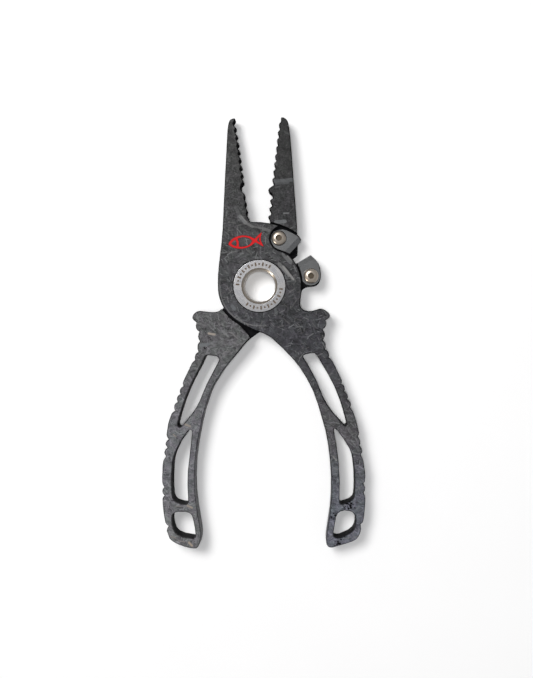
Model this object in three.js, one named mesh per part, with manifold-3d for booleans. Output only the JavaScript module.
// Open-jaw fishing pliers with chopped-fibre arms, a hollow pivot and a pair of
// replaceable side cutters, built as an assembly of separate closed solids.
// Millimetres. The pliers lie flat: +Z is up through the thickness, +Y points to
// the jaws, +X to the cutter side. Z = 0 is the back face they rest on. The
// origin is the bottom centre of the overall bounding box.
import * as THREE from 'three';
import { mergeVertices } from 'three/addons/utils/BufferGeometryUtils.js';
import Module from 'manifold-3d';

// ---- driving dimensions: everything below is measured from the pivot axis ------
const PIVOT_X = -1.88;         // pivot axis from the origin
const PIVOT_Y = 21.2;
const GAP = 0.05;              // fine clearance between fitted parts
const RING_GAP = 0.1;          // radial clearance of the washers and the seal

const ARM_T = 11;              // thickness of both arms
const LAP_LOW = 5.05;          // top of the rear arm's half of the lap joint
const LAP_HIGH = 5.35;         // underside of the front arm's half
const TAPER_FROM = 46.8;       // the jaws thin towards their tips from this y
const TAPER_SLOPE = 0.08;      // on each face
const EDGE = 0.35;             // chamfer round the arm outlines
const CLOSE_DEG = 15.3;        // closing travel of the front arm

const DISC_R = 18.37;          // round part of the lap joint
const RUN_GAP = 0.55;          // side clearance round it in the front arm
const REAR_RELIEF_R = 19.35;   // round relief above the rear arm's half
const JAW_ROOT_R = 28.68;      // where the full-thickness jaws start

const RING_R = 11.5;           // flanges of the hollow pivot
const RING_SEAT_R = 11.85;
const RING_CHAMFER = 0.3;
const RING_TOP = 11.2;         // sleeve flange, in the front face
const RING_UNDERSIDE = 9.7;
const NUT_BOTTOM = 0.15;       // nut flange, in the back face
const NUT_FLANGE_TOP = 1.7;
const BARREL_R = 8.55;
const BORE_R = 6.8;
const MOUTH_R = 7.95;          // flared mouths of the bore
const SEAT_FRONT_Z = 9.2;      // floor of the front flange seat
const SEAT_REAR_Z = 2.2;       // floor of the rear flange seat
const HUB_R = 9.65;            // bore of each arm, round its bush

const RECESS_LOW = 4.65;       // washer recess and seal groove, across the lap
const RECESS_HIGH = 5.75;
const WASHER_RECESS_IN = 9;
const WASHER_RECESS_OUT = 12.2;
const SEAL_GROOVE_IN = 16.75;
const SEAL_GROOVE_OUT = 17.75;

const GROOVE_IN = 12.9;        // spring chamber between the arms
const GROOVE_OUT = 16.0;
const GROOVE_LOW = 2.7;
const GROOVE_HIGH = 7.9;
const SPRING_R = 14.4;
const WIRE = 1.5;
const FRONT_LEG_DEG = 200;     // spring end held by the front arm
const REAR_LEG_DEG = 290;      // spring end held by the rear arm
const LEG_SLOT_HALF = WIRE / 2 + 0.12;
const BLIND_FLOOR = 1.6;       // floor of the rear arm's pin hole and leg pocket

const PIN_R = 1.25;            // stop pin
const PIN_AT = 22.6;
const PIN_DEG = 84;
const PIN_LOW = 1.7;
const PIN_HIGH = 8;

const CUT_LOW = 7.4;           // underside of both cutters
const CUT_TOP = 9.8;
const UPPER_SCREW = [8.57, 21.2];
const LOWER_SCREW = [22.79, 4.46];
const BEVEL_W = 2.2;           // ground bevels of the blades
const BEVEL_H = 1.0;
const HEAD_R = 3.33;           // button head of the cutter screws
const HEAD_H = 1.85;
const HEAD_EDGE = 0.12;        // chamfer under the head
const SHANK_R = 1.72;
const SOCKET_R = 1.45;         // hexagon socket, centre to corner
const SOCKET_DEPTH = 1.15;
const INSERT_R = 2.7;          // threaded inserts
const INSERT_HOLE_R = INSERT_R + 0.03;
const LOWER_INSERT_FLOOR = 2.6;
const LOBE_LOW = 2;            // underside of the lobe below the lower cutter

const EMBLEM_RECESS = 0.45;    // depth in the front face
const EMBLEM_DEPTH = 0.42;
const EMBLEM_PROUD = 0.02;

// Ends of the cutting tools, clear of the material they leave
const BELOW = -2;
const ABOVE = 14;
const UNDER_FRONT_LAP = 5;
const OVER_REAR_LAP = 6;

// Facets and smoothing
const PIVOT_SEGMENTS = 48;
const SCREW_SEGMENTS = 28;
const HOLE_SEGMENTS = 20;
const PIN_SEGMENTS = 16;
const ARM_TOL = 0.085;         // largest deviation of each simplified curve
const WINDOW_TOL = 0.09;
const LOBE_TOL = 0.06;
const FINE_TOL = 0.05;
const POCKET_TOL = 0.04;
const MIN_POINT_GAP = 0.16;    // closer points on an outline are dropped

// ---- outlines: [x, y] from the pivot axis ---------------------------------------
// A third value of 1 marks a sharp corner; the runs between corners are smooth.
const FRONT_ARM_OUTLINE = [
  [-13.9, 71.22], [-14.2, 69.2], [-14.44, 64.26], [-14.72, 58.88], [-14.96, 53.06],
  [-15.19, 46.81], [-15.5, 40.63], [-15.77, 34.44], [-16.1, 28.26], [-16.47, 22.52],
  [-16.87, 18.11], [-17.31, 14.57], [-17.75, 11.04], [-18.13, 7.51], [-18.35, 3.97],
  [-18.4, 0.44], [-18.24, -2.65], [-17.8, -4.86], [-17.22, -6.62], [-16.52, -8.39],
  [-15.54, -10.07], [-13.87, -12.1], [-12.1, -13.82], [-10.07, -15.41], [-8.13, -16.65],
  [-5.48, -17.97], [-3.27, -19.03], [-1.5, -19.78], [1.02, -20.58], [2.91, -21.46],
  [5.12, -22.79], [7.77, -25.08], [10.86, -28.04], [13.95, -31.27], [16.52, -34.22],
  [19.17, -37.98], [21.55, -41.95], [23.67, -46.24], [25.52, -51.23], [27.29, -56.97],
  [28.7, -62.04], [29.63, -65.8], [30.43, -70.21], [31.09, -75.07], [31.53, -79.93],
  [31.84, -84.79], [31.88, -89.2], [31.75, -94.06], [31.31, -98.92], [30.56, -104.22],
  [29.9, -108.19], [29.54, -111.28], [29.54, -113.05], [29.81, -114.37], [30.56, -115.35],
  [31.71, -115.66], [33.83, -115.17], [36.48, -114.37], [39.13, -113.58], [41.78, -112.52],
  [43.37, -111.28], [44.42, -109.52], [44.95, -107.31], [44.65, -105.19, 1],
  [45.57, -104.48], [46.19, -102.45], [46.46, -98.92], [46.77, -95.39], [46.72, -92.96],
  [45.97, -91.1, 1], [46.59, -90.26], [46.59, -88.58], [45.75, -87.44, 1], [46.46, -86.55],
  [46.77, -84.35], [46.41, -79.93], [45.84, -76.84], [44.73, -74.32, 1], [45.35, -73.39],
  [45.09, -71.72], [44.07, -70.66, 1], [44.51, -69.6], [44.25, -67.74], [43.41, -66.46, 1],
  [43.98, -65.27], [43.45, -62.27], [42.75, -59.62], [42.04, -57.19], [41.2, -55.11],
  [40.01, -53.7, 1], [40.41, -52.55], [40.01, -51.05], [38.68, -50.12, 1], [39.08, -49.02],
  [38.68, -47.56], [37.36, -46.59, 1], [37.71, -45.48], [37.36, -44.12], [36.03, -43.28, 1],
  [36.43, -42.22], [35.9, -40.63], [34.71, -38.2], [33.3, -35.11], [32.06, -32.94],
  [30.6, -31.49, 1], [30.78, -30.38], [30.25, -28.88], [29.06, -28.04, 1], [29.32, -26.5],
  [28.92, -24.91], [28, -23.85, 1], [28.66, -22.61], [28.84, -21.11], [28, -19.21, 1],
  [29.19, -17.93], [29.45, -16.34], [29.23, -15.01, 1], [30.16, -14.53], [30.91, -13.73],
  [31.09, -12.81], [30.29, -11.61], [28.97, -10.6], [27.2, -9.98], [25.66, -10.25],
  [23.89, -10.82], [22.12, -11.17], [20.14, -10.82], [18.94, -10.11], [18.19, -9.01],
  [17.97, -7.73], [18.06, -5.96], [18.33, -3.97], [18.53, -1.77], [18.55, 0.88],
  [18.45, 2.59], [18, 5.16], [17.15, 7.63], [15.95, 9.97], [14.44, 12.12], [13.02, 13.76, 1],
  [17.79, 19.76, 1], [18.37, 20.67, 1], [17.58, 21.99], [16.25, 23.1], [15.07, 23.65],
  [12.29, 25.2], [9.13, 26.51], [5.83, 27.43], [2.44, 27.93], [0, 28.26], [-2.03, 28.26],
  [-3.44, 28.28], [-4.26, 28.51, 1], [-4.93, 29.92, 1], [-5.03, 30.36, 1], [-5.82, 31.8, 1],
  [-5.36, 33.34, 1], [-6.36, 35.44, 1], [-5.98, 36.76, 1], [-6.08, 37.32, 1],
  [-6.77, 38.75, 1], [-6.52, 40.41, 1], [-7.67, 41.62, 1], [-8.3, 43.17, 1],
  [-8.24, 44.05, 1], [-7.97, 44.82, 1], [-7.12, 45.71, 1], [-7.06, 46.37, 1],
  [-7.3, 46.59, 1], [-8.05, 48.15, 1], [-7.96, 48.48, 1], [-7.46, 49.04, 1],
  [-7.4, 49.6, 1], [-7.92, 50.16, 1], [-8.62, 51.61, 1], [-8.51, 51.95, 1],
  [-7.94, 52.39, 1], [-7.81, 52.84, 1], [-8.29, 53.51, 1], [-8.97, 55.19, 1],
  [-8.38, 55.97, 1], [-8.36, 56.42, 1], [-8.78, 56.87, 1], [-9.48, 58.55, 1],
  [-9.35, 58.88, 1], [-8.86, 59.33, 1], [-8.76, 59.78, 1], [-9.33, 60.34, 1],
  [-9.99, 61.91, 1], [-9.75, 62.35, 1], [-9.32, 62.69, 1], [-9.23, 63.14, 1],
  [-9.73, 63.59, 1], [-10.52, 65.38, 1], [-9.81, 66.28, 1], [-9.79, 66.62, 1],
  [-10.44, 67.18, 1], [-11.07, 68.86, 1], [-10.35, 69.99, 1], [-11.05, 70.66, 1],
  [-11.68, 72.12, 1], [-11.55, 72.57, 1], [-11.1, 72.91, 1], [-10.81, 73.7, 1],
  [-10.9, 74.26, 1], [-11.66, 74.28], [-12.41, 74.1], [-12.98, 73.72], [-13.42, 73.11],
  [-13.73, 72.3],
];
const REAR_ARM_OUTLINE = [
  [10.92, 74.46], [11.85, 73.83], [12.56, 72.53], [13.01, 70.77], [13.36, 68.3],
  [13.72, 64.26], [14.08, 60.23], [14.39, 55.75], [14.75, 51.28], [15.06, 46.37],
  [15.41, 41.95], [15.72, 37.54], [16.12, 32.68], [16.47, 27.82], [16.69, 23.4],
  [16.82, 18.99], [16.78, 14.79], [16.56, 13.87], [15.81, 13.12], [14.66, 12.41, 1],
  [14.5, 11.57], [15.41, 10.24, 1], [17.07, 10.09, 1], [22.32, 13.1, 1], [23.76, 12.67],
  [25.26, 11.3], [26.41, 9.45], [26.94, 7.29], [27.16, 4.86], [26.85, 2.65], [25.97, 1.06],
  [24.64, 0.18], [22.79, -0.09], [20.8, -0.35], [19.43, -1.02], [18.64, -1.94, 1],
  [17.82, -4.44], [16.78, -7.47], [15.23, -10.27], [13.21, -12.76], [10.8, -14.86],
  [6.98, -17.31], [5.12, -18.11], [3.27, -18.99], [1.5, -19.78], [-0.71, -20.71],
  [-2.3, -21.9], [-4.82, -23.67], [-7.53, -26.76], [-10.32, -30.25], [-12.63, -32.9],
  [-14.75, -35.55], [-16.69, -38.2], [-18.4, -40.85], [-19.98, -43.5], [-21.34, -46.24],
  [-22.87, -50.34], [-24.18, -54.32], [-25.44, -59.4], [-26.39, -63.81], [-27.25, -68.23],
  [-27.92, -72.64], [-28.42, -77.06], [-28.69, -81.48], [-28.78, -85.89], [-28.65, -90.31],
  [-28.2, -94.94], [-27.47, -100.24], [-26.75, -104.66], [-26.16, -107.97],
  [-25.98, -110.4], [-26.25, -112.83], [-26.8, -114.82], [-27.73, -116.18],
  [-29.76, -116.36], [-31.97, -115.96], [-35.06, -114.99], [-37.71, -113.8],
  [-39.66, -112.34], [-40.58, -110.4], [-41.16, -108.19], [-40.36, -106.43, 1],
  [-41.6, -105.37], [-42.22, -102.89], [-42.75, -98.92], [-43.01, -95.83], [-42.97, -94.06],
  [-42.13, -92.87, 1], [-43.06, -91.68], [-43.06, -90.26], [-42.22, -89.2, 1],
  [-42.92, -88.14], [-43.19, -85.67], [-43.06, -81.7], [-42.75, -77.72], [-41.47, -75.51, 1],
  [-42.22, -74.01], [-41.86, -72.51], [-40.8, -71.54, 1], [-41.64, -70.21], [-41.33, -68.8],
  [-40.23, -67.92, 1], [-41.16, -66.42], [-41.02, -64.03], [-40.54, -61.21],
  [-39.66, -58.29], [-38.77, -56.26], [-37.36, -55.2, 1], [-37.89, -53.61], [-37.45, -52.2],
  [-36.26, -51.36, 1], [-36.65, -49.9], [-36.21, -48.66], [-34.97, -47.83, 1],
  [-35.37, -46.37], [-34.84, -45.13], [-33.65, -44.38, 1], [-34, -42.97], [-33.16, -40.89],
  [-31.97, -38.24], [-30.65, -35.59], [-29.68, -33.83], [-28.53, -32.81, 1],
  [-28.66, -31.44], [-28.17, -30.03], [-27.03, -29.15, 1], [-27.47, -27.38],
  [-27.2, -25.61], [-26.32, -24.42, 1], [-27.03, -23.14], [-27.11, -21.64],
  [-26.58, -20.23, 1], [-27.82, -19.17], [-28.17, -17.75], [-27.91, -16.07, 1],
  [-29.06, -15.19], [-29.68, -14.13], [-29.5, -12.98], [-28.7, -12.01], [-27.56, -11.26],
  [-26.1, -11], [-23.58, -11.35], [-20.93, -11.57], [-19.08, -11.48], [-17.66, -10.91],
  [-16.69, -9.98, 1], [-15.87, -9.16], [-17.22, -6.27], [-18.05, -3.18], [-18.33, 0],
  [-18.09, 3.19], [-17.6, 5.72], [-14.16, 15.38], [-12.79, 18.67], [-11.42, 21.96],
  [-10.04, 25.42], [-7.26, 27.09], [-4.87, 27.62], [-1.96, 27.97], [1.47, 28],
  [4.58, 27.67, 1], [4.56, 28.7, 1], [4.24, 29.92, 1], [3.86, 30.36, 1], [4.05, 30.8, 1],
  [5.03, 31.46, 1], [5.24, 31.91, 1], [4.72, 33.34, 1], [4.3, 34.11, 1], [4.5, 34.44, 1],
  [5.34, 35, 1], [5.57, 35.33, 1], [5.61, 35.66, 1], [5.11, 36.87, 1], [4.7, 37.54, 1],
  [4.92, 37.98, 1], [5.77, 38.53, 1], [6.02, 39.08, 1], [5.3, 40.74, 1], [4.21, 41.73, 1],
  [3.92, 42.17, 1], [4.05, 42.61, 1], [4.41, 43.17, 1], [6.24, 44.38, 1], [6.49, 44.82, 1],
  [5.68, 46.81, 1], [5.82, 47.14, 1], [6.6, 47.93, 1], [6.72, 48.26, 1], [6.1, 50.38, 1],
  [6.22, 50.72, 1], [6.99, 51.5, 1], [7.1, 51.83, 1], [6.7, 53.4, 1], [6.48, 53.85, 1],
  [6.61, 54.29, 1], [7.06, 54.63, 1], [7.44, 55.19, 1], [7.07, 56.87, 1], [6.88, 57.31, 1],
  [7.07, 57.87, 1], [7.5, 58.21, 1], [7.82, 58.77, 1], [7.32, 60.9, 1], [7.46, 61.35, 1],
  [7.96, 61.79, 1], [8.23, 62.35, 1], [7.71, 64.37, 1], [7.92, 64.93, 1], [8.41, 65.38, 1],
  [8.65, 65.83, 1], [8.37, 67.29, 1], [8.1, 67.97, 1], [9.03, 69.31, 1], [8.79, 70.77, 1],
  [8.53, 71.45, 1], [8.86, 72.12, 1], [9.3, 72.46, 1], [9.48, 73.02, 1], [9.46, 74.33, 1],
  [9.68, 74.64, 1], [10.21, 74.71],
];
// Openings through the handles, from the pivot down
const FRONT_WINDOWS = [
  [
    [19.3, -31.35], [19.52, -30.56], [20.58, -30.16], [22.34, -29.76], [24.2, -29.63],
    [24.99, -30.16], [26.76, -33.12], [29.06, -36.87], [31.18, -40.54], [33.3, -44.69],
    [34.93, -48.58], [36.34, -52.55], [37.62, -56.97], [38.51, -60.37], [38.46, -61.38],
    [37.76, -61.65], [36.65, -60.59], [34.71, -58.6], [32.5, -56.08], [30.43, -53.35],
    [28.79, -50.43], [27.2, -46.9], [25.22, -42.04], [23.05, -37.8], [20.84, -34],
  ], [
    [32.94, -63.02], [33.65, -63.1], [36.12, -66.02], [38.24, -69.24], [40.14, -72.6],
    [41.11, -75.51], [41.69, -79.49], [42, -83.46], [42.08, -87.88], [41.95, -91.41],
    [41.47, -93.75], [40.1, -95.03], [38.07, -95.87], [36.12, -96.4], [35.46, -95.74],
    [35.37, -92.74], [35.5, -87.88], [35.33, -83.02], [34.93, -77.28], [34.36, -72.42],
    [33.61, -67.56], [32.9, -64.03],
  ], [
    [34.09, -101.57], [34.89, -100.15], [36.48, -99.4], [38.68, -99.18], [40.45, -99.62],
    [41.78, -100.68], [42.44, -102.1], [42.57, -103.78], [42.22, -106.25], [41.33, -108.02],
    [39.57, -109.47, 1], [35.77, -111.19, 1], [33.91, -111.37], [32.86, -110.66],
    [32.72, -109.08], [33.25, -105.54], [33.69, -102.89],
  ],
];
const REAR_WINDOWS = [
  [
    [-23.45, -30.69], [-20.49, -30.78], [-18.55, -31.31], [-17.88, -32.5], [-19.08, -35.24],
    [-21.29, -39.39], [-23.45, -43.54], [-25.04, -47.25], [-26.5, -50.87], [-28, -53.7],
    [-30.12, -56.75], [-32.33, -59.53], [-34.53, -62.09], [-35.59, -62.62],
    [-36.26, -61.91], [-36.03, -59.7], [-35.06, -56.26], [-33.83, -52.37],
    [-32.28, -48.13], [-30.34, -43.67], [-28.35, -39.57], [-26.1, -35.42],
    [-24.73, -32.59], [-24.16, -31.27],
  ], [
    [-30.65, -63.59], [-29.94, -64.39], [-30.12, -67.79], [-30.69, -71.98], [-31.22, -76.4],
    [-31.71, -81.03], [-31.93, -85.67], [-31.88, -90.09], [-31.62, -94.28], [-31.75, -96.05],
    [-32.72, -96.8], [-35.06, -96.45], [-37.18, -95.65], [-38.42, -94.15], [-38.86, -91.19],
    [-38.99, -85.67], [-38.82, -81.25], [-38.38, -77.06], [-37.45, -73.84], [-35.68, -70.13],
    [-33.65, -66.95], [-31.53, -64.16],
  ], [
    [-37.4, -100.46], [-35.06, -100.02], [-32.15, -100.24], [-30.43, -101.13],
    [-29.68, -102.67], [-29.01, -105.54], [-28.44, -108.99], [-28.48, -111.19],
    [-29.54, -111.99, 1], [-33.74, -111.33, 1], [-36.21, -110.36], [-37.89, -108.63],
    [-38.64, -105.98], [-38.95, -103.16], [-38.51, -101.3],
  ],
];
// The two sharp corners of each cutter are the ends of its cutting edge
const UPPER_CUTTER_OUTLINE = [
  [9.54, 24.95], [11.3, 24.82], [13.51, 23.93], [15.72, 22.7], [17.13, 21.68],
  [17.84, 20.53], [18.16, 19.47, 1], [13.34, 14.31, 1], [11.3, 15.19], [9.1, 15.99],
  [7.33, 16.69], [5.96, 18.06], [5.12, 19.78], [5.08, 21.64], [5.83, 23.32], [7.15, 24.42],
];
const LOWER_CUTTER_OUTLINE = [
  [22.61, 13.72, 1], [23.85, 12.54], [25.17, 11.22], [26.14, 9.27], [26.58, 7.07],
  [26.81, 4.86], [26.58, 2.96], [25.79, 1.59], [24.38, 0.62], [22.52, 0.31], [20.58, 0.71],
  [19.43, 1.68], [19.06, 2], [18.83, 4], [18.4, 5.98], [17.61, 8.21], [16.69, 10.13, 1],
];
// Open line: the wall of the upper cutter's pocket
const CUTTER_POCKET_EDGE = [
  [7.99, 26.23], [6.54, 25.44], [5.12, 23.89], [4.33, 21.82], [4.37, 19.61],
  [5.39, 17.53], [7.02, 15.99], [8.92, 15.24], [11.13, 14.35], [13.34, 12.98],
];
// Open line: where the rear handle steps up to full thickness
const REAR_SHOULDER_LINE = [
  [-17.84, -9.23], [-16.52, -10.55], [-14.75, -12.23], [-12.54, -14.18], [-10.33, -16.03],
  [-8.13, -18.11], [-6.36, -20], [-4.9, -21.73], [-4.06, -23.49], [-4.15, -25.61],
];
const REAR_LOBE_OUTLINE = [
  [19.24, -0.67], [19.15, 2.01], [18.6, 4.98], [17.63, 7.85], [17.07, 10.09, 1],
  [22.32, 13.1, 1], [23.76, 12.67], [25.26, 11.3], [26.41, 9.45], [26.94, 7.29],
  [27.16, 4.86], [26.85, 2.65], [25.97, 1.06], [24.64, 0.18], [22.79, -0.09], [19.52, -0.4],
];
// Emblem, with its head, body and tail openings
const FISH = [
  [-13.63, 18.44], [-12.74, 20.03], [-10.63, 21.54], [-7.5, 22.28], [-4.42, 21.91],
  [-2.05, 20.88, 1], [0.98, 23.73, 1], [0.53, 20.43], [1.87, 17.39, 1], [-1.83, 19.29, 1],
  [-3.83, 17.7], [-6.71, 16.64], [-9.93, 16.59], [-12.36, 17.36],
];
const FISH_OPENINGS = [
  [
    [-12.35, 18.67], [-11.59, 19.79], [-10.63, 20.48, 1], [-10.05, 19.25],
    [-10.16, 17.52, 1], [-11.33, 17.91],
  ], [
    [-9.69, 20.96, 1], [-7.4, 21.59], [-4.72, 21.21], [-3.03, 19.93, 1], [-4.31, 18.29],
    [-6.8, 17.33], [-9.12, 17.31, 1], [-9.1, 19.28],
  ], [
    [-0.88, 20.79, 1], [0.1, 21.73, 1], [-0.16, 20.34], [0.48, 19.06, 1], [-0.73, 19.7, 1],
    [-1, 20.22],
  ],
];
// Recess for the emblem, and the islands that stand in its openings
const FISH_RECESS = [
  [-13.73, 18.42], [-12.8, 20.09], [-10.66, 21.61], [-7.51, 22.36], [-4.4, 21.99],
  [-2.07, 20.97, 1], [1.09, 23.94, 1], [0.62, 20.44], [2.04, 17.21, 1], [-1.82, 19.2, 1],
  [-3.79, 17.63], [-6.69, 16.56], [-9.94, 16.51], [-12.4, 17.29],
];
const FISH_ISLANDS = [
  [
    [-12.24, 18.69], [-11.54, 19.73], [-10.66, 20.36, 1], [-10.13, 19.23],
    [-10.24, 17.62, 1], [-11.29, 17.98],
  ], [
    [-9.58, 20.91, 1], [-7.4, 21.51], [-4.76, 21.13], [-3.14, 19.92, 1], [-4.36, 18.35],
    [-6.82, 17.41], [-9.04, 17.39, 1], [-9.02, 19.29],
  ], [
    [-0.81, 20.75, 1], [-0.02, 21.5, 1], [-0.24, 20.32], [0.29, 19.25, 1],
    [-0.67, 19.76, 1], [-0.92, 20.23],
  ],
];

// ---- materials ------------------------------------------------------------------
const standard = (settings) => new THREE.MeshStandardMaterial(settings);
const CARBON = standard({ color: 0x5d5d62, roughness: 0.45, metalness: 0 });
const TITANIUM = standard({ color: 0xb2b2b6, roughness: 0.35, metalness: 1 });
const STEEL = standard({ color: 0xb9b1a6, roughness: 0.28, metalness: 1 });
const CARBIDE = standard({ color: 0x6c6e6e, roughness: 0.4, metalness: 1 });
const SPRING_STEEL = standard({ color: 0x8c8c8c, roughness: 0.35, metalness: 1 });
const BRASS = standard({ color: 0xb08d4a, roughness: 0.35, metalness: 1 });
const POLYMER = standard({ color: 0xc8b48a, roughness: 0.6, metalness: 0 });
const RUBBER = standard({ color: 0x191919, roughness: 0.85, metalness: 0 });
const ENAMEL = standard({ color: 0xd8383a, roughness: 0.4, metalness: 0 });

// ---- flat shapes ----------------------------------------------------------------
const rad = THREE.MathUtils.degToRad;
const points = (list) => list.map(([x, y]) => new THREE.Vector2(x, y));
const polar = (radius, deg) => [radius * Math.cos(rad(deg)), radius * Math.sin(rad(deg))];

// Drops the points of an open line that lie within the tolerance of its chords.
function simplify(line, tolerance) {
  if (line.length < 3) return line;
  const start = line[0];
  const end = line[line.length - 1];
  const dx = end.x - start.x;
  const dy = end.y - start.y;
  const length = Math.hypot(dx, dy);
  let farthest = 0;
  let split = 0;
  for (let i = 1; i < line.length - 1; i++) {
    const point = line[i];
    const distance = length > 1e-9
      ? Math.abs(dx * (start.y - point.y) - (start.x - point.x) * dy) / length
      : Math.hypot(point.x - start.x, point.y - start.y);
    if (distance > farthest) {
      farthest = distance;
      split = i;
    }
  }
  if (farthest <= tolerance) return [start, end];
  return [
    ...simplify(line.slice(0, split + 1), tolerance).slice(0, -1),
    ...simplify(line.slice(split), tolerance),
  ];
}

// Smooth line through control points, four steps to a span.
function smoothLine(controls, closed = false) {
  const knots = controls.map(([x, y]) => new THREE.Vector3(x, y, 0));
  const spans = closed ? knots.length : knots.length - 1;
  const curve = new THREE.CatmullRomCurve3(knots, closed, 'centripetal');
  return curve.getPoints(spans * 4).map(({ x, y }) => new THREE.Vector2(x, y));
}

// Closed outline through control points: smooth between marked corners.
function outline(controls, tolerance) {
  const start = controls.findIndex(([, , corner]) => corner);
  if (start < 0) {
    const loop = smoothLine(controls, true);
    const half = Math.floor(loop.length / 2);
    return [loop.slice(0, half + 1), loop.slice(half)]
      .flatMap((line) => simplify(line, tolerance).slice(0, -1));
  }
  const result = [];
  let run = [controls[start]];
  for (const control of [...controls.slice(start + 1), ...controls.slice(0, start + 1)]) {
    run.push(control);
    if (!control[2]) continue;
    const line = run.length === 2 ? points(run) : simplify(smoothLine(run), tolerance);
    for (let i = line.length - 2; i > 0; i--) {
      const nearest = Math.min(line[i].distanceTo(line[i + 1]), line[i].distanceTo(line[i - 1]));
      if (nearest < MIN_POINT_GAP) line.splice(i, 1);
    }
    result.push(...line.slice(0, -1));
    run = [control];
  }
  return result;
}
const outlines = (list, tolerance) => list.map((controls) => outline(controls, tolerance));

function arc(radius, fromDeg, toDeg, steps, [centreX, centreY] = [0, 0]) {
  return Array.from({ length: steps + 1 }, (_, i) => {
    const [x, y] = polar(radius, fromDeg + ((toDeg - fromDeg) * i) / steps);
    return new THREE.Vector2(centreX + x, centreY + y);
  });
}
const circle = (radius, segments, centre) => arc(radius, 0, 360, segments, centre).slice(0, -1);

// Round-ended slot along an arc about the pivot axis.
const arcSlot = (radius, fromDeg, toDeg, halfWidth) => [
  ...arc(radius + halfWidth, fromDeg, toDeg, 6),
  ...arc(halfWidth, toDeg, toDeg + 180, 6, polar(radius, toDeg)).slice(1, -1),
  ...arc(radius - halfWidth, toDeg, fromDeg, 6),
  ...arc(halfWidth, fromDeg + 180, fromDeg + 360, 6, polar(radius, fromDeg)).slice(1, -1),
];

// ---- solids ---------------------------------------------------------------------
const wasm = await Module();
wasm.setup();

// Manifold solid from a closed geometry, turned right side out.
function body(geometry) {
  geometry.deleteAttribute('normal');
  geometry.deleteAttribute('uv');
  const merged = mergeVertices(geometry, 1e-4);
  const { position } = merged.attributes;
  const index = merged.index.array;
  const vertex = (i) => new THREE.Vector3().fromBufferAttribute(position, i);
  const triangles = [];
  let volume = 0;
  for (let i = 0; i < index.length; i += 3) {
    const [a, b, c] = index.slice(i, i + 3);
    if (a === b || b === c || a === c) continue;
    triangles.push(a, b, c);
    volume += vertex(a).dot(vertex(b).cross(vertex(c)));
  }
  if (volume < 0) {
    for (let i = 0; i < triangles.length; i += 3) {
      [triangles[i + 1], triangles[i + 2]] = [triangles[i + 2], triangles[i + 1]];
    }
  }
  return new wasm.Manifold(new wasm.Mesh({
    numProp: 3,
    vertProperties: new Float32Array(position.array),
    triVerts: new Uint32Array(triangles),
  }));
}

function prism(shapePoints, bottom, top, holes = [], chamfer = 0) {
  const anticlockwise = (loop) => (THREE.ShapeUtils.area(loop) > 0 ? loop : [...loop].reverse());
  const shape = new THREE.Shape(anticlockwise(shapePoints));
  shape.holes = holes.map((hole) => new THREE.Path([...anticlockwise(hole)].reverse()));
  const geometry = new THREE.ExtrudeGeometry(shape, {
    depth: top - bottom - 2 * chamfer,
    bevelEnabled: chamfer > 0,
    bevelThickness: chamfer,
    bevelSize: chamfer,
    bevelOffset: -chamfer,
    bevelSegments: 1,
    steps: 1,
  });
  geometry.translate(0, 0, bottom + chamfer);
  return body(geometry);
}

// Solid of revolution about +Z from a [radius, z] profile.
function turned(profile, segments = PIVOT_SEGMENTS, [x, y] = [0, 0]) {
  const geometry = new THREE.LatheGeometry(points(profile), segments);
  geometry.rotateX(Math.PI / 2);
  geometry.translate(x, y, 0);
  return body(geometry);
}
const closeLoop = (profile) => [...profile, profile[0]];
const plug = (radius, bottom, top) => (
  turned([[0, bottom], [radius, bottom], [radius, top], [0, top]])
);
const ring = (inner, outer, bottom, top, segments, centre) => turned(
  closeLoop([[inner, bottom], [outer, bottom], [outer, top], [inner, top]]), segments, centre,
);
const cut = (solid, tools) => tools.reduce((rest, tool) => rest.subtract(tool), solid);

// ---- arms -----------------------------------------------------------------------
// Thins the jaws towards their tips, equally from both faces.
function taperJaws(solid) {
  const tipBox = points([[-40, TAPER_FROM], [40, TAPER_FROM], [40, 90], [-40, 90]]);
  const end = prism(tipBox, BELOW, ARM_T + 2);
  const { numProp, vertProperties, triVerts } = solid.intersect(end).getMesh();
  const tapered = new Float32Array(vertProperties);
  for (let i = 0; i < tapered.length; i += numProp) {
    const scale = 1 - (2 * TAPER_SLOPE * (tapered[i + 1] - TAPER_FROM)) / ARM_T;
    tapered[i + 2] = ARM_T / 2 + (tapered[i + 2] - ARM_T / 2) * scale;
  }
  const mesh = new wasm.Mesh({ numProp, vertProperties: tapered, triVerts });
  return solid.subtract(end).add(new wasm.Manifold(mesh));
}

const armBlank = (controls, windows) => (
  taperJaws(prism(outline(controls, ARM_TOL), 0, ARM_T, outlines(windows, WINDOW_TOL), EDGE))
);

// Space the front arm's half needs above the rear arm; its mirror image is what
// the rear arm's half needs below the front arm.
const shoulderEnd = REAR_SHOULDER_LINE[REAR_SHOULDER_LINE.length - 1];
const LAP_SPACE = [...REAR_SHOULDER_LINE, [24, shoulderEnd[1]], [60, -40], [60, 0]];

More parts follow.
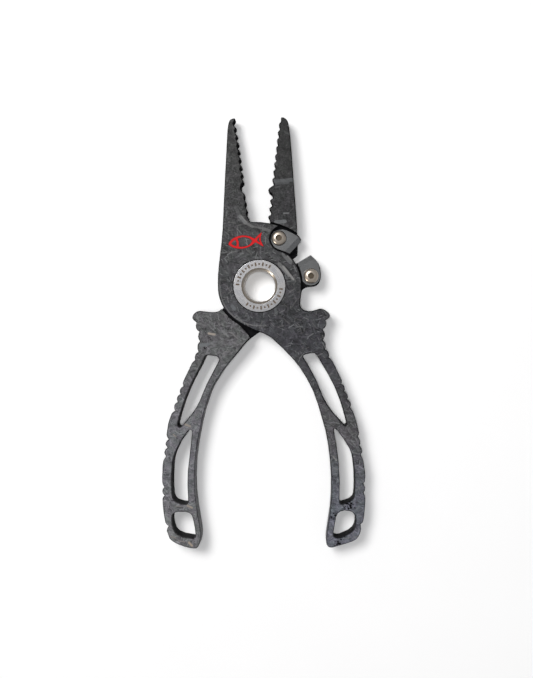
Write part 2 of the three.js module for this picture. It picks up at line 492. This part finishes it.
// Left jaw, right handle, upper cutter pocket.
function frontArm() {
  const headSpace = [
    ...arc(JAW_ROOT_R, 0, 196, 36), ...points([[0, -12], [JAW_ROOT_R, -4]]),
  ];
  // open to the cutting side
  const cutterPocket = [
    ...simplify(smoothLine(CUTTER_POCKET_EDGE), POCKET_TOL),
    ...points([[15.6, 13.6], [32, 20], [26, 34], [8.4, 32]]),
  ];
  // one end at the pin at rest, the other just past full closing
  const pinSlot = arcSlot(PIN_AT, PIN_DEG, PIN_DEG + CLOSE_DEG + 0.5, PIN_R + 0.08);
  const legSlot = arcSlot(SPRING_R, FRONT_LEG_DEG - 5, FRONT_LEG_DEG + 0.5, LEG_SLOT_HALF);
  const insertHole = circle(INSERT_HOLE_R, HOLE_SEGMENTS, UPPER_SCREW);
  const emblem = outline(FISH_RECESS, FINE_TOL);
  const islands = outlines(FISH_ISLANDS, FINE_TOL);
  return cut(armBlank(FRONT_ARM_OUTLINE, FRONT_WINDOWS), [
    prism(headSpace, BELOW, LAP_HIGH),
    prism(points(LAP_SPACE.map(([x, y]) => [-x, y])), BELOW, LAP_HIGH),
    prism(circle(DISC_R + RUN_GAP, PIVOT_SEGMENTS), BELOW, LAP_HIGH),
    prism(cutterPocket, CUT_LOW, ABOVE),
    plug(RING_SEAT_R, SEAT_FRONT_Z, ABOVE),
    plug(HUB_R, 4, 10),
    ring(WASHER_RECESS_IN, WASHER_RECESS_OUT, UNDER_FRONT_LAP, RECESS_HIGH),
    ring(GROOVE_IN, GROOVE_OUT, UNDER_FRONT_LAP, GROOVE_HIGH),
    ring(SEAL_GROOVE_IN, SEAL_GROOVE_OUT, UNDER_FRONT_LAP, RECESS_HIGH),
    prism(pinSlot, UNDER_FRONT_LAP, PIN_HIGH + 0.2),
    prism(legSlot, GROOVE_HIGH - 0.5, 9),
    prism(insertHole, LAP_HIGH - 1, CUT_LOW + 1),
    prism(emblem, ARM_T - EMBLEM_RECESS, ARM_T + 2, islands),
  ]);
}

// Right jaw, left handle, lobe under the lower cutter.
function rearArm() {
  const headSpace = [
    ...arc(JAW_ROOT_R, -16, 180, 36), ...points([[-JAW_ROOT_R, -4], [0, -12]]),
  ];
  const pinHole = circle(PIN_R + 0.02, PIN_SEGMENTS, polar(PIN_AT, PIN_DEG));
  const legSlot = arcSlot(SPRING_R, REAR_LEG_DEG - 0.5, REAR_LEG_DEG + 5, LEG_SLOT_HALF);
  const insertHole = circle(INSERT_HOLE_R, HOLE_SEGMENTS, LOWER_SCREW);
  const lapped = cut(armBlank(REAR_ARM_OUTLINE, REAR_WINDOWS), [
    prism(headSpace, LAP_LOW, ABOVE),
    prism(points(LAP_SPACE), LAP_LOW, ABOVE),
    prism(circle(REAR_RELIEF_R, PIVOT_SEGMENTS), LAP_LOW, ABOVE),
  ]);
  const lobe = prism(outline(REAR_LOBE_OUTLINE, LOBE_TOL), LOBE_LOW, CUT_LOW);
  return cut(lapped.add(lobe), [
    plug(RING_SEAT_R, BELOW, SEAT_REAR_Z),
    plug(HUB_R, 1, 7),
    ring(WASHER_RECESS_IN, WASHER_RECESS_OUT, RECESS_LOW, OVER_REAR_LAP),
    ring(GROOVE_IN, GROOVE_OUT, GROOVE_LOW, OVER_REAR_LAP),
    ring(SEAL_GROOVE_IN, SEAL_GROOVE_OUT, RECESS_LOW, OVER_REAR_LAP),
    prism(pinHole, BLIND_FLOOR, OVER_REAR_LAP),
    prism(legSlot, BLIND_FLOOR, GROOVE_LOW + 0.5),
    prism(insertHole, LOWER_INSERT_FLOOR, CUT_LOW + 1),
  ]);
}

// ---- hollow pivot ---------------------------------------------------------------
// Flanged sleeve through both arms; the flanged nut closes it from the back.
const pivotSleeve = () => turned(closeLoop([
  [BORE_R, 0.9], [7.85, 0.9], [7.85, 3], [BARREL_R, 3.3],
  [BARREL_R, RING_UNDERSIDE], [RING_R, RING_UNDERSIDE],
  [RING_R, RING_TOP - RING_CHAMFER], [RING_R - RING_CHAMFER, RING_TOP],
  [MOUTH_R, RING_TOP], [7, RING_TOP - 0.75], [BORE_R, RING_TOP - 1.3],
]));

function pivotNut() {
  const blank = turned(closeLoop([
    [BORE_R, NUT_BOTTOM + 0.3], [MOUTH_R, NUT_BOTTOM],
    [RING_R - RING_CHAMFER, NUT_BOTTOM], [RING_R, NUT_BOTTOM + RING_CHAMFER],
    [RING_R, NUT_FLANGE_TOP], [BARREL_R, NUT_FLANGE_TOP],
    [BARREL_R, 2.95], [7.9, 2.95], [7.9, 0.85], [BORE_R, 0.85],
  ]));
  // four spanner notches in its rim
  const notch = points([[9.5, -1.3], [13, -1.3], [13, 1.3], [9.5, 1.3]]);
  const centre = new THREE.Vector2();
  return cut(blank, [45, 135, 225, 315].map((deg) => (
    prism(notch.map((point) => point.clone().rotateAround(centre, rad(deg))), -1, 1)
  )));
}

const bush = (bottom, top) => ring(BARREL_R + GAP, HUB_R - GAP, bottom, top);
const thrustWasher = (bottom, top) => (
  ring(BARREL_R + RING_GAP, RING_R - RING_GAP, bottom + GAP, top - GAP)
);
// Ring that fits a recess shared by both arms.
const lapRing = (inner, outer) => (
  ring(inner + RING_GAP, outer - RING_GAP, RECESS_LOW + GAP, RECESS_HIGH - GAP)
);

// Torsion spring: under two coils, with one end turned down into the rear arm and
// the other turned up into the front arm.
function returnSpring() {
  const low = GROOVE_LOW + WIRE / 2 + 0.06;
  const high = GROOVE_HIGH - WIRE / 2 - 0.06;
  const sweepDeg = 720 + FRONT_LEG_DEG - REAR_LEG_DEG;
  const endDeg = REAR_LEG_DEG + sweepDeg;
  const coilSteps = 50;
  const flat = 0.12;    // share of the coil that lies level at each end
  // degrees in from the wire's end, and distance beyond the coil along Z
  const legBend = [[0, 1.5], [0.3, 0.95], [2.4, 0.28]];
  const at = (deg, z) => new THREE.Vector3(...polar(SPRING_R, deg), z);

  const path = legBend.map(([deg, beyond]) => at(REAR_LEG_DEG + deg, low - beyond));
  for (let i = 0; i <= coilSteps; i++) {
    const along = i / coilSteps;
    const rise = THREE.MathUtils.clamp((along - flat) / (1 - 2 * flat), 0, 1);
    path.push(at(REAR_LEG_DEG + 6 + (sweepDeg - 12) * along, low + (high - low) * rise));
  }
  path.push(...legBend.reverse().map(([deg, beyond]) => at(endDeg - deg, high + beyond)));

  return body(new THREE.ExtrudeGeometry(new THREE.Shape(circle(WIRE / 2, 7)), {
    extrudePath: new THREE.CatmullRomCurve3(path, false, 'centripetal'),
    steps: 60,
    bevelEnabled: false,
  }));
}

// Pressed in the rear arm, running in an arc slot under the front arm.
const stopPin = () => turned([
  [0, PIN_LOW], [PIN_R - 0.2, PIN_LOW], [PIN_R, PIN_LOW + 0.2],
  [PIN_R, PIN_HIGH - 0.2], [PIN_R - 0.2, PIN_HIGH], [0, PIN_HIGH],
], PIN_SEGMENTS, polar(PIN_AT, PIN_DEG));

// ---- side cutters ---------------------------------------------------------------
// A flat plate ground from both faces to a narrow land along the cutting edge,
// which lies on a line through the pivot axis. The blade is left of the edge line.
function cutter(controls, [edgeFrom, edgeTo], screw) {
  const edge = edgeTo.clone().sub(edgeFrom);
  const length = edge.length();
  const along = new THREE.Vector3(edge.x / length, edge.y / length, 0);
  const into = new THREE.Vector3(-along.y, along.x, 0);
  const frame = new THREE.Matrix4().makeBasis(into, new THREE.Vector3(0, 0, 1), along);
  frame.setPosition(edgeFrom.x, edgeFrom.y, CUT_LOW);

  // waste beyond each bevel: [distance from the edge into the blade, height]
  const thickness = CUT_TOP - CUT_LOW;
  const slope = BEVEL_H / BEVEL_W;
  const above = [
    [-3, thickness - BEVEL_H - 3 * slope], [BEVEL_W, thickness], [BEVEL_W + 0.02, 6], [-3, 6],
  ];
  const below = [
    [-3, -3], [BEVEL_W + 0.02, -3], [BEVEL_W, 0], [-1, BEVEL_H + slope], [-3, BEVEL_H + slope],
  ];
  const overrun = 12;
  const bevels = [above, below].map((waste) => {
    const geometry = new THREE.ExtrudeGeometry(new THREE.Shape(points(waste)), {
      depth: length + 2 * overrun,
      bevelEnabled: false,
    });
    geometry.translate(0, 0, -overrun);
    geometry.applyMatrix4(frame);
    return body(geometry);
  });
  const screwHole = prism(circle(SHANK_R + GAP, HOLE_SEGMENTS, screw), 0, ABOVE);
  return cut(prism(outline(controls, FINE_TOL), CUT_LOW, CUT_TOP), [...bevels, screwHole]);
}
const cornersOf = (controls) => points(controls.filter(([, , corner]) => corner));

// ---- screws and threaded inserts ------------------------------------------------
function buttonScrew(centre, tip) {
  const seat = CUT_TOP + 0.02;
  const headTop = seat + HEAD_H;
  const crownR = 0.9;       // flat top of the dome
  const domeBase = 0.35;
  const dome = [0, 22.5, 45, 67.5, 90].map((deg) => [
    crownR + (HEAD_R - HEAD_EDGE - crownR) * Math.cos(rad(deg)),
    seat + domeBase + (HEAD_H - domeBase) * Math.sin(rad(deg)),
  ]);
  const screw = turned([
    [0, tip], [SHANK_R - 0.3, tip], [SHANK_R, tip + 0.3], [SHANK_R, seat],
    [HEAD_R - HEAD_EDGE, seat], [HEAD_R, seat + HEAD_EDGE], ...dome, [0, headTop],
  ], SCREW_SEGMENTS, centre);
  return screw.subtract(prism(circle(SOCKET_R, 6, centre), headTop - SOCKET_DEPTH, headTop + 1));
}

const insert = (floor, centre) => (
  ring(SHANK_R + GAP, INSERT_R, floor + GAP, CUT_LOW - GAP, HOLE_SEGMENTS, centre)
);

// ---- emblem: a plain fish, inlaid in the front face -------------------------------
const emblemInlay = () => prism(
  outline(FISH, FINE_TOL),
  ARM_T - EMBLEM_DEPTH,
  ARM_T + EMBLEM_PROUD,
  outlines(FISH_OPENINGS, FINE_TOL),
);

// ---- assembly -------------------------------------------------------------------
const group = new THREE.Group();
group.name = 'fishing_pliers';

function place(name, solid, material) {
  const { vertProperties, triVerts } = solid.getMesh();
  const geometry = new THREE.BufferGeometry();
  const positions = new Float32Array(vertProperties);
  geometry.setAttribute('position', new THREE.BufferAttribute(positions, 3));
  geometry.setIndex(new THREE.BufferAttribute(new Uint32Array(triVerts), 1));
  geometry.translate(PIVOT_X, PIVOT_Y, 0);
  geometry.computeVertexNormals();
  const mesh = new THREE.Mesh(geometry, material);
  mesh.name = name;
  group.add(mesh);
}

place('front_arm', frontArm(), CARBON);
place('rear_arm', rearArm(), CARBON);
place('pivot_sleeve', pivotSleeve(), TITANIUM);
place('pivot_nut', pivotNut(), TITANIUM);
place('front_bush', bush(RECESS_HIGH + 0.1, SEAT_FRONT_Z - GAP), POLYMER);
place('rear_bush', bush(SEAT_REAR_Z + GAP, RECESS_LOW - GAP), POLYMER);
place('front_thrust_washer', thrustWasher(SEAT_FRONT_Z, RING_UNDERSIDE), BRASS);
place('rear_thrust_washer', thrustWasher(NUT_FLANGE_TOP, SEAT_REAR_Z), BRASS);
place('centre_thrust_washer', lapRing(WASHER_RECESS_IN, WASHER_RECESS_OUT), BRASS);
place('chamber_seal', lapRing(SEAL_GROOVE_IN, SEAL_GROOVE_OUT), RUBBER);
place('return_spring', returnSpring(), SPRING_STEEL);
place('stop_pin', stopPin(), STEEL);

const upperEdge = cornersOf(UPPER_CUTTER_OUTLINE).reverse();
const lowerEdge = cornersOf(LOWER_CUTTER_OUTLINE);
place('upper_cutter', cutter(UPPER_CUTTER_OUTLINE, upperEdge, UPPER_SCREW), CARBIDE);
place('lower_cutter', cutter(LOWER_CUTTER_OUTLINE, lowerEdge, LOWER_SCREW), CARBIDE);
place('upper_cutter_screw', buttonScrew(UPPER_SCREW, 5.5), STEEL);
place('lower_cutter_screw', buttonScrew(LOWER_SCREW, 3.2), STEEL);
place('upper_cutter_insert', insert(LAP_HIGH, UPPER_SCREW), BRASS);
place('lower_cutter_insert', insert(LOWER_INSERT_FLOOR, LOWER_SCREW), BRASS);
place('emblem_inlay', emblemInlay(), ENAMEL);

export default group;
